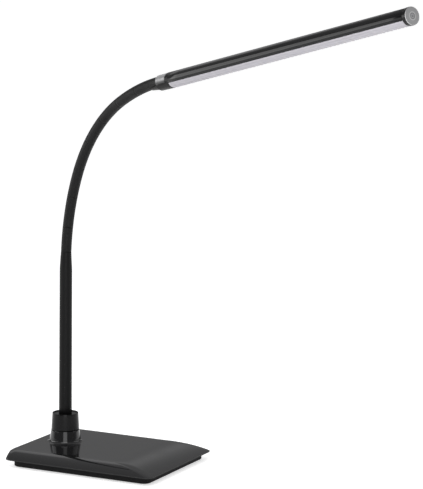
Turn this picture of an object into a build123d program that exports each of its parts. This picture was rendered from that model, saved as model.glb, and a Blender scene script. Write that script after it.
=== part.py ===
from build123d import *
from math import cos, degrees, radians, sin, sqrt
import os

# Gooseneck desk lamp: a weighted base under a glossy cover, a straight stem in a collar, a neck
# that bends, and a thin round head with a strip of light diodes behind an opal diffuser.
#
# Frame: +Z up, origin on the table at the middle of the base, +X along the base away from the
# stem. All sizes in millimetres. The stem stands near the -X end. The neck arches over in an
# upright plane through the stem's axis, turned by arch_turn about the stem.

# ---------------------------------------------------------------- base
plate_length = 160.0
plate_width = 130.0
plate_corner = 8.0
plate_floor = 2.5
plate_wall = 2.2
plate_edge_round = 0.6
plinth_height = 7.25         # side of the base plate that shows below the cover
pad_thickness = 1.5
pad_inset = 6.0
pad_corner = 6.0

cover_overhang = 6.6
cover_corner = 8.2
cover_wall = 2.5
lip_height = 0.95
shoulder_rise = 8.4
front_shoulder = 50.0        # width of the slope at the +X end
back_shoulder = 4.3          # width of the slope at the -X end, behind the stem
side_shoulder = 18.5
cover_fit = 0.3              # between the base plate's wall and the cover

screw_inset_x = 16.0         # cover screws, from the plate's ends and sides
screw_inset_y = 13.0
screw_post_radius = 4.0
screw_pilot_radius = 1.2
screw_radius = 1.15
screw_hole_radius = 1.7
screw_head_radius = 2.9
screw_reach = 8.0
screw_recess = 0.2
screw_end_gap = 0.5
cross_width = 0.7
cross_depth = 1.0

ballast_thickness = 8.0
ballast_corner = 5.0
ballast_from_stem = 16.5     # gap from the stem's axis to the ballast
ballast_from_posts = 4.3
ballast_from_side = 13.0     # from the plate's side
ballast_peg_inset_x = 13.0
ballast_peg_inset_y = 14.0
ballast_peg_radius = 3.0
ballast_peg_fit = 0.2
ballast_screw_head_radius = 4.5
ballast_screw_head_height = 1.8
ballast_screw_reach = 5.0

# ---------------------------------------------------------------- stem and collar
stem_from_jack = 1.5         # gap from the power inlet to the nut on the stem
tube_wall = 1.45
tube_foot_height = 7.6
tube_fit = 0.15

boss_height = 13.0           # bell at the foot of the collar, moulded on the cover
boss_step = 0.1              # bell's top wider than the collar on it
boss_waist_flare = 1.6
boss_foot_flare = 5.4
boss_waist_height = 3.6
boss_sleeve_wall = 1.8
boss_wall = 2.8
boss_roof = 3.0
boss_chamfer = 0.35

spigot_height = 2.6
spigot_wall = 1.8
collar_gap = 0.2
collar_height = 18.0
collar_foot_wall = 3.6
collar_top_wall = 2.5
collar_roof = 2.4
collar_dish = 1.3
collar_lip = 1.1
collar_chamfer = 0.35
spigot_fit = 0.15

skin_foot_wall = 0.75
skin_top_wall = 0.45
skin_fit = 0.1
skin_into_collar = 10.6
taper_below_bend = 5.0
taper_above_bend = 14.0

spreader_length = 20.0
spreader_width = 46.0
spreader_thickness = 2.0
spreader_corner = 3.0
washer_overlap = 0.4         # past the nut's corners
washer_thickness = 1.0
nut_wall = 2.0
nut_thickness = 4.0
nut_fit = 0.05
nut_clear = 2.0              # round the upper nut, inside the collar

# ---------------------------------------------------------------- power inlet
jack_length = 14.0
jack_width = 9.0
jack_height = 8.4
jack_from_floor = 2.9
jack_behind_wall = 0.3
jack_nose_radius = 3.9
jack_nose_length = 4.6
jack_nose_fit = 0.25
jack_bore_radius = 2.8
jack_bore_depth = 9.5
jack_pin_radius = 1.05
jack_pin_recess = 0.6
jack_lead_radius = 0.7
jack_lead_spread = 2.2
jack_lead_meet = 0.95        # half the leads' spacing under the stem
jack_lead_height = 1.0       # above the jack's underside
jack_lead_low = 1.7          # above the base plate's floor
jack_lead_straight = 1.5
jack_lead_slope = 2.0
jack_lead_bend = 1.0

# ---------------------------------------------------------------- neck
arch_turn = -25.7            # degrees about the stem, from +X
bend_start_height = 208.2
neck_bends = [(239.8, 23.74), (171.7, 38.29), (258.8, 15.07)]   # radius and degrees, from the stem up
cable_radius = 1.9
cable_fit = 0.5
core_wall = 2.05
sleeve_wall = 0.95
neck_fit = 0.1
core_grip = 32.0             # length of the core held in the stem tube
ball_margin = 1.5            # round end of each length of neck, past the sleeve's radius
ball_gap = 0.3
joint_count = 8
first_joint = 24.0           # from the start of the bend
last_joint_from_end = 19.0   # from the end of the last bend

# ---------------------------------------------------------------- head
head_radius = 8.1
head_wall = 1.1
tube_length = 339.8
opening_half_angle = 67.5    # of the light opening, from straight down
ferrule_inset = 0.2          # ferrule's top, in from the head's top
web_thickness = 1.2
web_top = 0.3                # top of the web, above the head axis

neck_straight = 1.0          # from the last bend to the ferrule
ferrule_length = 17.0
ferrule_wall = 1.0
ferrule_round = 1.6
neck_into_ferrule = 8.0

plug_flange = 5.8
plug_flange_round = 0.8
plug_spigot = 12.0
plug_front_wall = 2.3
plug_fit = 0.15
collet_gap = 1.0
collet_fit = 0.1
core_fit = 0.05
saddle_setback = 2.5         # saddle's rear edge, forward of the ferrule's
saddle_wall = 2.6
saddle_taper = 0.6           # degrees
saddle_edge_drop = 3.6       # edge of the saddle, below the ferrule's axis
heel_overrun = 12.0          # thin heel under the neck, past the ferrule's rear edge
heel_wall = 1.6              # at its front, below the ferrule
heel_taper = 6.0             # degrees
heel_fit = 0.6               # between the neck's sleeve and the heel
heel_step = 0.3              # between the ferrule's rear edge and the heel's shoulder
lead_hole_radius = 1.9
grub_from_flange = 4.0
grub_radius = 1.45
grub_fit = 0.05
grub_clear = 0.25
grub_recess = 0.3
grub_socket_radius = 0.85
grub_socket_depth = 1.3

diffuser_thickness = 1.2
diffuser_fit = 0.05
diffuser_end_gap = 0.1
diffuser_edge_fit = 0.6      # degrees
tongue_thickness = 0.8
tongue_fit = 0.1
tongue_low_angle = 54.0      # degrees from straight down
tongue_high_angle = 77.0

board_side_gap = 0.7         # from the diffuser's tongues
board_thickness = 1.0
board_end_gap = 5.0
chip_count = 28
chip_width = 2.8
chip_length = 3.5
chip_thickness = 0.8

ring_step = 0.2              # ring prouder than the tube
ring_length = 4.3
ring_spigot = 8.0
ring_groove_width = 0.6
ring_groove_depth = 0.3
ring_edge_round = 0.25
cap_inset = 0.17
cap_thickness = 0.9
cap_edge_round = 0.25
cap_stem_radius = 4.2
cap_stem_length = 1.8
cap_fit = 0.15

tape_thickness = 0.4
tape_width = 8.0
tape_length = 24.0
dimmer_side_gap = 1.4        # from the tube's bore
dimmer_length = 34.0
dimmer_thickness = 0.9
dimmer_gap = 2.0
contact_radius = 1.1
contact_fit = 0.2
contact_overlap = 3.5
lead_radius = 0.6
lead_spread = 0.9
lead_overlap = 3.0
link_radius = 0.45
link_spread = 2.5
link_from_end = 2.5
link_hole_radius = 1.0
solder_gap = 0.05

# ---------------------------------------------------------------- worked out from the above
plate_bottom = pad_thickness
floor_top = plate_bottom + plate_floor
lip_bottom = plate_bottom + plinth_height
lip_top = lip_bottom + lip_height
cover_top = lip_top + shoulder_rise
cavity_top = cover_top - cover_wall
cover_length = plate_length + 2 * cover_overhang
cover_width = plate_width + 2 * cover_overhang
plate_wall_top = lip_bottom + 0.4 * lip_height
screw_x = plate_length / 2 - screw_inset_x
screw_y = plate_width / 2 - screw_inset_y

core_bore = cable_radius + cable_fit
core_radius = core_bore + core_wall
neck_bore = core_radius + neck_fit
neck_radius = neck_bore + sleeve_wall
ball_radius = neck_radius + ball_margin
tube_bore = core_radius + neck_fit
tube_radius = tube_bore + tube_wall
skin_bore = tube_radius + skin_fit
skin_foot_radius = skin_bore + skin_foot_wall
skin_top_radius = skin_bore + skin_top_wall
nut_corner = (tube_radius + nut_wall) / cos(radians(30))
collar_bore = nut_corner + nut_clear
collar_foot_radius = collar_bore + collar_foot_wall
collar_top_radius = collar_bore + collar_top_wall
boss_top_radius = collar_foot_radius + boss_step

jack_front = plate_wall + jack_behind_wall - plate_length / 2
stem_x = jack_front + jack_length + stem_from_jack + nut_corner
boss_top = cover_top + boss_height
collar_bottom = boss_top + collar_gap
collar_top = collar_bottom + collar_height
skin_bottom = collar_top - skin_into_collar
taper_start = bend_start_height - taper_below_bend
washer_top = cavity_top - spreader_thickness
nut_top = washer_top - washer_thickness
ballast_length = screw_x - screw_post_radius - ballast_from_posts - stem_x - ballast_from_stem
ballast_width = plate_width - 2 * ballast_from_side
ballast_x = stem_x + ballast_from_stem + ballast_length / 2

neck_length = sum(radius * radians(turn) for radius, turn in neck_bends)
joint_step = (neck_length - last_joint_from_end - first_joint) / (joint_count - 1)
joint_places = [first_joint + number * joint_step for number in range(joint_count)]
head_rise = 90.0 - sum(turn for radius, turn in neck_bends)

ferrule_rear = neck_straight                 # these run along the head from the last bend's end
flange_rear = ferrule_rear + ferrule_length
tube_rear = flange_rear + plug_flange
tube_front = tube_rear + tube_length
ring_front = tube_front + ring_length
bore_radius = head_radius - head_wall
ferrule_radius = neck_radius + neck_fit + ferrule_wall
axis_drop = head_radius - ferrule_radius - ferrule_inset     # head axis below the neck's
saddle_radius = ferrule_radius + collet_fit - axis_drop + saddle_wall
heel_radius = ferrule_radius + collet_fit - axis_drop + heel_wall
ring_radius = head_radius + ring_step
cap_radius = ring_radius - cap_inset
spigot_flat = web_top + plug_fit
web_bottom = web_top - web_thickness
dimmer_front = tube_front - ring_spigot - dimmer_gap
dimmer_rear = dimmer_front - dimmer_length
dimmer_bottom = web_top + tape_thickness
dimmer_top = dimmer_bottom + dimmer_thickness
contact_height = dimmer_top + contact_radius + solder_gap
lead_height = dimmer_top + lead_radius + solder_gap

# ---------------------------------------------------------------- planes and shared shapes
os.makedirs("parts", exist_ok=True)

stem_axis = Axis((stem_x, 0, 0), (0, 0, 1))
stem_plane = Plane(origin=(stem_x, 0, 0), x_dir=(1, 0, 0), z_dir=(0, -1, 0))
arch_direction = Vector(cos(radians(arch_turn)), sin(radians(arch_turn)), 0)
arch_side = Vector(-arch_direction.Y, arch_direction.X, 0)
arch_plane = Plane(origin=(stem_x, 0, 0), x_dir=arch_direction, z_dir=-arch_side)


def save(part, name):
    """Label a finished piece and write it under its own name."""
    part.label = name
    export_step(part, f"parts/{name}.step")


def neck_point(distance):
    """Reach and height in the arch plane, and lean from upright, at a distance along the neck."""
    reach, height, lean = 0.0, bend_start_height, 0.0
    if distance < 0:
        return reach, height + distance, lean
    for radius, turn in neck_bends:
        step = min(distance, radius * radians(turn))
        end_lean = lean + degrees(step / radius)
        reach += radius * (cos(radians(lean)) - cos(radians(end_lean)))
        height += radius * (sin(radians(end_lean)) - sin(radians(lean)))
        lean = end_lean
        distance -= step
    return reach + distance * sin(radians(lean)), height + distance * cos(radians(lean)), lean


def neck_plane(distance):
    """Plane across the neck, with its normal along the neck and its x to the side."""
    reach, height, lean = neck_point(distance)
    along = arch_direction * sin(radians(lean)) + Vector(0, 0, cos(radians(lean)))
    return Plane(origin=arch_plane.from_local_coords((reach, height)), x_dir=arch_side, z_dir=along)


def neck_path(start, end):
    """Centreline between two distances along the neck, as tangent arcs and straight ends."""
    spans = [(-core_grip, 0.0, 0.0)]
    for radius, turn in neck_bends:
        spans.append((spans[-1][1], spans[-1][1] + radius * radians(turn), radius))
    spans.append((neck_length, neck_length + flange_rear + plug_flange, 0.0))
    with BuildLine(arch_plane) as path:
        for span_start, span_end, radius in spans:
            near, far = max(start, span_start), min(end, span_end)
            if far <= near:
                continue
            reach, height, lean = neck_point(near)
            if radius:
                tangent = (sin(radians(lean)), cos(radians(lean)))
                JernArc((reach, height), tangent, radius, -degrees((far - near) / radius))
            else:
                Line((reach, height), neck_point(far)[:2])
    return path.wire()


def ball_end_cutter(place):
    """What is cut away beyond a joint to leave a round end about the joint's centre."""
    with BuildPart(neck_plane(place)) as cutter:
        Cylinder(2 * ball_radius, 2 * ball_radius, align=(Align.CENTER, Align.CENTER, Align.MIN))
        Sphere(ball_radius, mode=Mode.SUBTRACT)
    return cutter.part


def neck_piece(start, end, outer, inner, hollow_start, ball_end):
    """A length of neck tube, with a hollow start and a round end where it meets a joint."""
    path = neck_path(start, end + (ball_radius + 1 if ball_end else 0))
    cutter = ball_end_cutter(end)
    with BuildPart() as piece:
        with BuildSketch(neck_plane(start)):
            Circle(outer)
            if inner:
                Circle(inner, mode=Mode.SUBTRACT)
        sweep(path=path)
        if hollow_start:
            with Locations(neck_plane(start).origin):
                Sphere(ball_radius + ball_gap, mode=Mode.SUBTRACT)
        if ball_end:
            add(cutter, mode=Mode.SUBTRACT)
    return piece.part


def cover_section(height, top, wall, least_inset, corner):
    """Outline of the cover's pillow at a height, offset inwards by a wall thickness."""
    drop = top - height
    insets = []
    for width in (back_shoulder, front_shoulder, side_shoulder):
        curve = (width**2 + shoulder_rise**2) / (2 * shoulder_rise)
        reach = sqrt(2 * curve * drop - drop**2)
        insets.append(max(width - reach + wall, least_inset))
    back, front, side = insets
    length = cover_length - back - front
    with BuildSketch(Plane.XY.offset(height)) as section:
        with Locations(((back - front) / 2, 0)):
            RectangleRounded(length, cover_width - 2 * side, corner)
    return section.sketch


def pillow(bottom, top, wall, least_inset, corner):
    """Closed pillow solid between two heights, lofted through its level outlines."""
    fractions = (1.0, 0.8, 0.6, 0.42, 0.27, 0.15, 0.07, 0.02, 0.0)
    levels = [top - (top - bottom) * fraction for fraction in fractions]
    sections = [cover_section(level, top, wall, least_inset, corner) for level in levels]
    with BuildPart() as solid:
        for section in sections:
            add(section)
        loft(ruled=True)
    return solid.part


# ================================================================ base
outer_pillow = pillow(lip_top, cover_top, 0.0, 0.0, cover_corner)
inner_pillow = pillow(plate_wall_top, cavity_top, cover_wall, cover_overhang - cover_fit, plate_corner + cover_fit)
screw_places = [(x, y) for x in (-screw_x, screw_x) for y in (-screw_y, screw_y)]

# What is hollow in the cover: the plate's own outline, then the pillow, less the screw posts.
with BuildPart() as cover_hollow:
    with BuildSketch(Plane.XY.offset(lip_bottom)):
        RectangleRounded(plate_length + 2 * cover_fit, plate_width + 2 * cover_fit, plate_corner + cover_fit)
    extrude(amount=plate_wall_top - lip_bottom)
    add(inner_pillow)
    with BuildSketch(Plane.XY.offset(floor_top)):
        with Locations(*screw_places):
            Circle(screw_post_radius)
    extrude(amount=cover_top - floor_top, mode=Mode.SUBTRACT)

# Base cover: glossy shell with the collar's bell, moulded in one.
jack_y_half = jack_nose_radius + jack_nose_fit
jack_axis_height = floor_top + jack_from_floor + jack_height / 2
boss_foot = (boss_top_radius + boss_foot_flare, cover_top)
boss_waist = (boss_top_radius + boss_waist_flare, cover_top + boss_waist_height)
with BuildPart() as base_cover:
    with BuildSketch(Plane.XY.offset(lip_bottom)):
        RectangleRounded(cover_length, cover_width, cover_corner)
    extrude(amount=lip_height)
    add(outer_pillow)
    with BuildSketch(stem_plane):
        with BuildLine():
            Polyline((0, cover_top - cover_wall), boss_foot)
            TangentArc(boss_foot, boss_waist, tangent=(-1, 0))
            Line(boss_waist, (boss_top_radius, boss_top))
            Polyline((boss_top_radius, boss_top), (0, boss_top), (0, cover_top - cover_wall))
        make_face()
    revolve(axis=stem_axis)
    chamfer(edges().filter_by(GeomType.CIRCLE).group_by(Axis.Z)[-1], boss_chamfer)
    with BuildSketch(Plane.XY.offset(boss_top)):
        with Locations((stem_x, 0)):
            Circle(collar_bore - spigot_fit)
            Circle(collar_bore - spigot_fit - spigot_wall, mode=Mode.SUBTRACT)
    extrude(amount=spigot_height)
    add(cover_hollow.part, mode=Mode.SUBTRACT)
    # hollow of the bell, around the sleeve that the stem tube goes through
    with BuildSketch(Plane.XY.offset(cavity_top)):
        with Locations((stem_x, 0)):
            Circle(boss_top_radius - boss_wall)
            Circle(tube_radius + tube_fit + boss_sleeve_wall, mode=Mode.SUBTRACT)
    extrude(amount=boss_top - boss_roof - cavity_top, mode=Mode.SUBTRACT)
    with BuildSketch(Plane.XY.offset(floor_top)):
        with Locations((stem_x, 0)):
            Circle(tube_radius + tube_fit)
    extrude(amount=boss_top - floor_top + spigot_height, mode=Mode.SUBTRACT)
    # pilot holes for the cover screws
    with BuildSketch(Plane.XY.offset(floor_top)):
        with Locations(*screw_places):
            Circle(screw_pilot_radius)
    extrude(amount=screw_reach, mode=Mode.SUBTRACT)
    # notch for the power inlet's nose in the -X end
    with BuildSketch(Plane.YZ.offset(-cover_length / 2 - 1)):
        with Locations((0, jack_axis_height)):
            Circle(jack_y_half)
        with Locations((0, lip_bottom / 2 + jack_axis_height / 2 - 0.5)):
            Rectangle(2 * jack_y_half, jack_axis_height - lip_bottom + 1.0)
    extrude(amount=cover_overhang + plate_wall + 1.5, mode=Mode.SUBTRACT)
save(base_cover.part, "base_cover")

# Base plate: moulded tray whose side shows below the cover, with pegs for the ballast.
peg_x = ballast_length / 2 - ballast_peg_inset_x
peg_y = ballast_width / 2 - ballast_peg_inset_y
peg_places = [(ballast_x + x, y) for x in (-peg_x, peg_x) for y in (-peg_y, peg_y)]
with BuildPart() as base_plate:
    with BuildSketch(Plane.XY.offset(plate_bottom)):
        RectangleRounded(plate_length, plate_width, plate_corner)
    extrude(amount=plate_wall_top - plate_bottom)
    chamfer(faces().sort_by(Axis.Z)[0].edges(), plate_edge_round)
    with BuildSketch(Plane.XY.offset(floor_top)):
        RectangleRounded(plate_length - 2 * plate_wall, plate_width - 2 * plate_wall, plate_corner - plate_wall)
    extrude(amount=plate_wall_top - floor_top, mode=Mode.SUBTRACT)
    with BuildSketch(Plane.XY.offset(floor_top)):
        with Locations(*peg_places):
            Circle(ballast_peg_radius)
    extrude(amount=ballast_thickness - ballast_peg_fit)
    with BuildSketch(Plane.XY.offset(floor_top)):
        with Locations((jack_front + jack_length / 2, 0)):
            Rectangle(jack_length, jack_width)
    extrude(amount=jack_from_floor)
    with BuildSketch(Plane.XY.offset(floor_top + jack_from_floor)):
        with Locations((-plate_length / 2 + plate_wall / 2, 0)):
            Rectangle(plate_wall + 1.0, 2 * jack_y_half)
    extrude(amount=plate_wall_top, mode=Mode.SUBTRACT)
    with Locations(*[Location((x, y, plate_bottom), (180, 0, 0)) for x, y in screw_places]):
        CounterSinkHole(screw_hole_radius, screw_head_radius)
    with BuildSketch(Plane.XY.offset(floor_top + ballast_thickness - ballast_screw_reach)):
        with Locations(*peg_places):
            Circle(screw_pilot_radius)
    extrude(amount=ballast_thickness, mode=Mode.SUBTRACT)
save(base_plate.part, "base_plate")

# Base pad: foam sheet stuck under the plate, holed at the screws.
with BuildPart() as base_pad:
    with BuildSketch():
        RectangleRounded(plate_length - 2 * pad_inset, plate_width - 2 * pad_inset, pad_corner)
        with Locations(*screw_places):
            Circle(screw_head_radius + 0.6, mode=Mode.SUBTRACT)
    extrude(amount=pad_thickness)
save(base_pad.part, "base_pad")

# Ballast plate: steel, on the base plate's pegs.
with BuildPart() as ballast_plate:
    with BuildSketch(Plane.XY.offset(floor_top)):
        with Locations((ballast_x, 0)):
            RectangleRounded(ballast_length, ballast_width, ballast_corner)
        with Locations(*peg_places):
            Circle(ballast_peg_radius + ballast_peg_fit, mode=Mode.SUBTRACT)
    extrude(amount=ballast_thickness)
save(ballast_plate.part, "ballast_plate")


# Ballast screws: pan heads over the pegs, which hold the ballast down.
ballast_screw_places = [(x, y, floor_top + ballast_thickness) for x, y in peg_places]
with BuildPart() as ballast_screws:
    with Locations(*ballast_screw_places):
        Cylinder(ballast_screw_head_radius, ballast_screw_head_height,
                 align=(Align.CENTER, Align.CENTER, Align.MIN))
        Cylinder(screw_radius, ballast_screw_reach - screw_end_gap,
                 align=(Align.CENTER, Align.CENTER, Align.MAX))
    with Locations(*[(x, y, z + ballast_screw_head_height) for x, y, z in ballast_screw_places]):
        Box(ballast_screw_head_radius, cross_width, 2 * cross_depth, mode=Mode.SUBTRACT)
        Box(cross_width, ballast_screw_head_radius, 2 * cross_depth, mode=Mode.SUBTRACT)
save(ballast_screws.part, "ballast_screws")

# Cover screws: countersunk, up through the base plate into the cover's posts.
screw_face = plate_bottom + screw_recess
face_radius = screw_head_radius - screw_recess - 0.1
with BuildPart() as one_cover_screw:
    with BuildSketch(Plane.XZ):
        with BuildLine():
            Polyline((0, screw_face), (face_radius, screw_face),
                     (screw_radius, screw_face + face_radius - screw_radius),
                     (screw_radius, floor_top + screw_reach - screw_end_gap),
                     (0, floor_top + screw_reach - screw_end_gap), (0, screw_face))
        make_face()
    revolve(axis=Axis.Z)
    with Locations((0, 0, screw_face)):
        Box(face_radius, cross_width, 2 * cross_depth, mode=Mode.SUBTRACT)
        Box(cross_width, face_radius, 2 * cross_depth, mode=Mode.SUBTRACT)
with BuildPart() as cover_screws:
    with Locations(*screw_places):
        add(one_cover_screw.part)
save(cover_screws.part, "cover_screws")

# ================================================================ stem and collar
# Spreader plate: steel, under the cover's roof, which spreads the stem's load.
with BuildPart() as spreader_plate:
    with BuildSketch(Plane.XY.offset(washer_top)):
        with Locations((stem_x, 0)):
            RectangleRounded(spreader_length, spreader_width, spreader_corner)
            Circle(tube_radius + tube_fit, mode=Mode.SUBTRACT)
    extrude(amount=spreader_thickness)
save(spreader_plate.part, "spreader_plate")

# Washer under the spreader plate, and the two nuts that clamp the cover between them.
with BuildPart() as stem_washer:
    with BuildSketch(Plane.XY.offset(nut_top)):
        with Locations((stem_x, 0)):
            Circle(nut_corner + washer_overlap)
            Circle(tube_radius + tube_fit, mode=Mode.SUBTRACT)
    extrude(amount=washer_thickness)
save(stem_washer.part, "stem_washer")

for name, bottom in (("stem_nut_lower", nut_top - nut_thickness),
                     ("stem_nut_upper", boss_top + spigot_height)):
    with BuildPart() as stem_nut:
        with BuildSketch(Plane.XY.offset(bottom)):
            with Locations((stem_x, 0)):
                RegularPolygon(nut_corner, 6)
                Circle(tube_radius + nut_fit, mode=Mode.SUBTRACT)
        extrude(amount=nut_thickness)
    save(stem_nut.part, name)

# Stem tube: straight steel tube from under the cover to the foot of the skin's taper.
with BuildPart() as stem_tube:
    with BuildSketch(Plane.XY.offset(tube_foot_height)):
        with Locations((stem_x, 0)):
            Circle(tube_radius)
            Circle(tube_bore, mode=Mode.SUBTRACT)
    extrude(amount=taper_start - tube_foot_height)
save(stem_tube.part, "stem_tube")

# Collar cup: loose ring over the cover's spigot, with a shallow dish around the stem.
dish_floor = collar_top - collar_dish
hollow_top = dish_floor - collar_roof
with BuildPart() as collar_cup:
    with BuildSketch(stem_plane):
        with BuildLine():
            Polyline((collar_bore, collar_bottom),
                     (collar_foot_radius - collar_chamfer, collar_bottom),
                     (collar_foot_radius, collar_bottom + collar_chamfer),
                     (collar_top_radius, collar_top - collar_chamfer),
                     (collar_top_radius - collar_chamfer, collar_top),
                     (collar_top_radius - collar_lip, collar_top),
                     (collar_top_radius - collar_lip, dish_floor + 0.4),
                     (skin_foot_radius + skin_fit, dish_floor),
                     (skin_foot_radius + skin_fit, hollow_top),
                     (collar_bore, hollow_top),
                     (collar_bore, collar_bottom))
        make_face()
    revolve(axis=stem_axis)
save(collar_cup.part, "collar_cup")

# Stem skin: sleeve over the tube, thicker at the foot, which narrows over the tube's end and
# runs up the neck to the first joint.
skin_path = neck_path(taper_above_bend, joint_places[0] + ball_radius + 1)
skin_bore_path = neck_path(-taper_below_bend, joint_places[0] + ball_radius + 1)
skin_cutter = ball_end_cutter(joint_places[0])
with BuildPart() as skin_taper:
    with BuildSketch(neck_plane(-taper_below_bend)):
        Circle(skin_top_radius)
    with BuildSketch(neck_plane(taper_above_bend)):
        Circle(neck_radius)
    loft()
with BuildPart() as stem_skin:
    with BuildSketch(stem_plane):
        with BuildLine():
            Polyline((0, skin_bottom), (skin_foot_radius, skin_bottom), (skin_top_radius, taper_start),
                     (0, taper_start), (0, skin_bottom))
        make_face()
    revolve(axis=stem_axis)
    add(skin_taper.part)
    with BuildSketch(neck_plane(taper_above_bend)):
        Circle(neck_radius)
    sweep(path=skin_path)
    with BuildSketch(Plane.XY.offset(skin_bottom)):
        with Locations((stem_x, 0)):
            Circle(skin_bore)
    extrude(amount=taper_start - skin_bottom, mode=Mode.SUBTRACT)
    with BuildSketch(neck_plane(-taper_below_bend)):
        Circle(neck_bore)
    sweep(path=skin_bore_path, mode=Mode.SUBTRACT)
    add(skin_cutter, mode=Mode.SUBTRACT)
save(stem_skin.part, "stem_skin")

# Cable in the stem, from the foot to the first joint.
cable_foot = tube_foot_height + 1.5
stem_cable_path = neck_path(-core_grip, joint_places[0] + ball_radius + 1)
with BuildPart() as stem_cable:
    with BuildSketch(Plane.XY.offset(cable_foot)):
        with Locations((stem_x, 0)):
            Circle(cable_radius)
    extrude(amount=bend_start_height - core_grip - cable_foot)
    with BuildSketch(neck_plane(-core_grip)):
        Circle(cable_radius)
    sweep(path=stem_cable_path)
    add(skin_cutter, mode=Mode.SUBTRACT)
save(stem_cable.part, "stem_cable")

# ================================================================ power inlet
jack_bottom = floor_top + jack_from_floor
with BuildPart() as dc_jack:
    with BuildSketch(Plane.XY.offset(jack_bottom)):
        with Locations((jack_front + jack_length / 2, 0)):
            Rectangle(jack_length, jack_width)
    extrude(amount=jack_height)
    with BuildSketch(Plane.YZ.offset(jack_front - jack_nose_length)):
        with Locations((0, jack_axis_height)):
            Circle(jack_nose_radius)
    extrude(amount=jack_nose_length + 1.0)
    with BuildSketch(Plane.YZ.offset(jack_front - jack_nose_length)):
        with Locations((0, jack_axis_height)):
            Circle(jack_bore_radius)
            Circle(jack_pin_radius, mode=Mode.SUBTRACT)
    extrude(amount=jack_bore_depth, mode=Mode.SUBTRACT)
    with BuildSketch(Plane.YZ.offset(jack_front - jack_nose_length)):
        with Locations((0, jack_axis_height)):
            Circle(jack_pin_radius)
    extrude(amount=jack_bore_depth + 2.0, mode=Mode.SUBTRACT)
save(dc_jack.part, "dc_jack")

with BuildPart() as jack_pin:
    with BuildSketch(Plane.YZ.offset(jack_front - jack_nose_length + jack_pin_recess)):
        with Locations((0, jack_axis_height)):
            Circle(jack_pin_radius - 0.02)
    extrude(amount=jack_bore_depth - jack_pin_recess + 1.9)
    fillet(edges().filter_by(GeomType.CIRCLE).sort_by(Axis.X)[0], 0.4)
save(jack_pin.part, "jack_pin")

# Leads from the back of the jack, under the stem's foot and up to the cable.
lead_start_x = jack_front + jack_length
lead_high = jack_bottom + jack_lead_height
lead_low = floor_top + jack_lead_low
with BuildPart() as jack_leads:
    for side in (-1, 1):
        with BuildLine() as lead_line:
            FilletPolyline((lead_start_x, side * jack_lead_spread, lead_high),
                           (lead_start_x + jack_lead_straight, side * jack_lead_spread, lead_high),
                           (lead_start_x + jack_lead_straight + jack_lead_slope, side * jack_lead_meet, lead_low),
                           (stem_x, side * jack_lead_meet, lead_low),
                           (stem_x, side * jack_lead_meet, cable_foot),
                           radius=jack_lead_bend)
        with BuildSketch(Plane(lead_line.line @ 0, z_dir=lead_line.line % 0)):
            Circle(jack_lead_radius)
        sweep(path=lead_line.wire())
save(jack_leads.part, "jack_leads")

# ================================================================ neck
# The foot of the core is gripped in the stem tube. Seven lengths follow, each from one joint to
# the next, and the last length is held by the head's ferrule.
save(neck_piece(-core_grip, joint_places[0], core_radius, core_bore, False, True),
     "neck_core_foot")
for number, (start, end) in enumerate(zip(joint_places[:-1], joint_places[1:]), start=1):
    save(neck_piece(start, end, neck_radius, neck_bore, True, True), f"neck_sleeve_{number}")
    save(neck_piece(start, end, core_radius, core_bore, True, True), f"neck_core_{number}")
    save(neck_piece(start, end, cable_radius, 0.0, True, True), f"neck_cable_{number}")

sleeve_end = neck_length + ferrule_rear + neck_into_ferrule
core_end = neck_length + tube_rear - plug_front_wall - 0.3
save(neck_piece(joint_places[-1], sleeve_end, neck_radius, neck_bore, True, False), "neck_sleeve_end")
save(neck_piece(joint_places[-1], core_end, core_radius, core_bore, True, False),
     "neck_core_end")
save(neck_piece(joint_places[-1], core_end, cable_radius, 0.0, True, False), "neck_cable_end")

# ================================================================ head
neck_end_plane = neck_plane(neck_length)


def head_plane(distance):
    """Plane across the head at a distance from the last bend's end, centred on the head's axis."""
    origin = neck_end_plane.from_local_coords((0, -axis_drop, distance))
    return Plane(origin=origin, x_dir=neck_end_plane.x_dir, z_dir=neck_end_plane.z_dir)


def sector(radius, low_angle, high_angle):
    """Pie-shaped face about the head's axis, between two angles from straight down."""
    corners = []
    for angle in (low_angle, (low_angle + high_angle) / 2, high_angle):
        corners.append((radius * sin(radians(angle)), -radius * cos(radians(angle))))
    with BuildSketch() as pie:
        with BuildLine():
            Polyline(corners[0], (0, 0), corners[2])
            ThreePointArc(*corners)
        make_face()
    return pie.sketch


def spigot_section(radius):
    """Round section cut flat where it rests over the head tube's web."""
    with BuildSketch() as section:
        Circle(radius)
        with Locations((0, spigot_flat)):
            Rectangle(2 * radius, 2 * radius, align=(Align.CENTER, Align.MAX), mode=Mode.SUBTRACT)
    return section.sketch


head_axis = Axis(head_plane(0).origin, head_plane(0).z_dir)
grub_plane = Plane(origin=head_plane(flange_rear - grub_from_flange).origin,
                   x_dir=head_plane(0).z_dir, z_dir=-head_plane(0).y_dir)

# Ferrule: bright metal ring over the neck's end and the plug's collet.
with BuildPart() as ferrule:
    with BuildSketch(head_plane(ferrule_rear)):
        with Locations((0, axis_drop)):
            Circle(ferrule_radius)
    extrude(amount=ferrule_length)
    fillet(faces().sort_by(head_axis)[0].edges(), ferrule_round)
    with BuildSketch(head_plane(ferrule_rear)):
        with Locations((0, axis_drop)):
            Circle(neck_radius + neck_fit)
    extrude(amount=ferrule_length, mode=Mode.SUBTRACT)
    with BuildSketch(grub_plane):
        Circle(grub_radius + grub_clear)
    extrude(amount=head_radius, mode=Mode.SUBTRACT)
save(ferrule.part, "ferrule")

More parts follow.
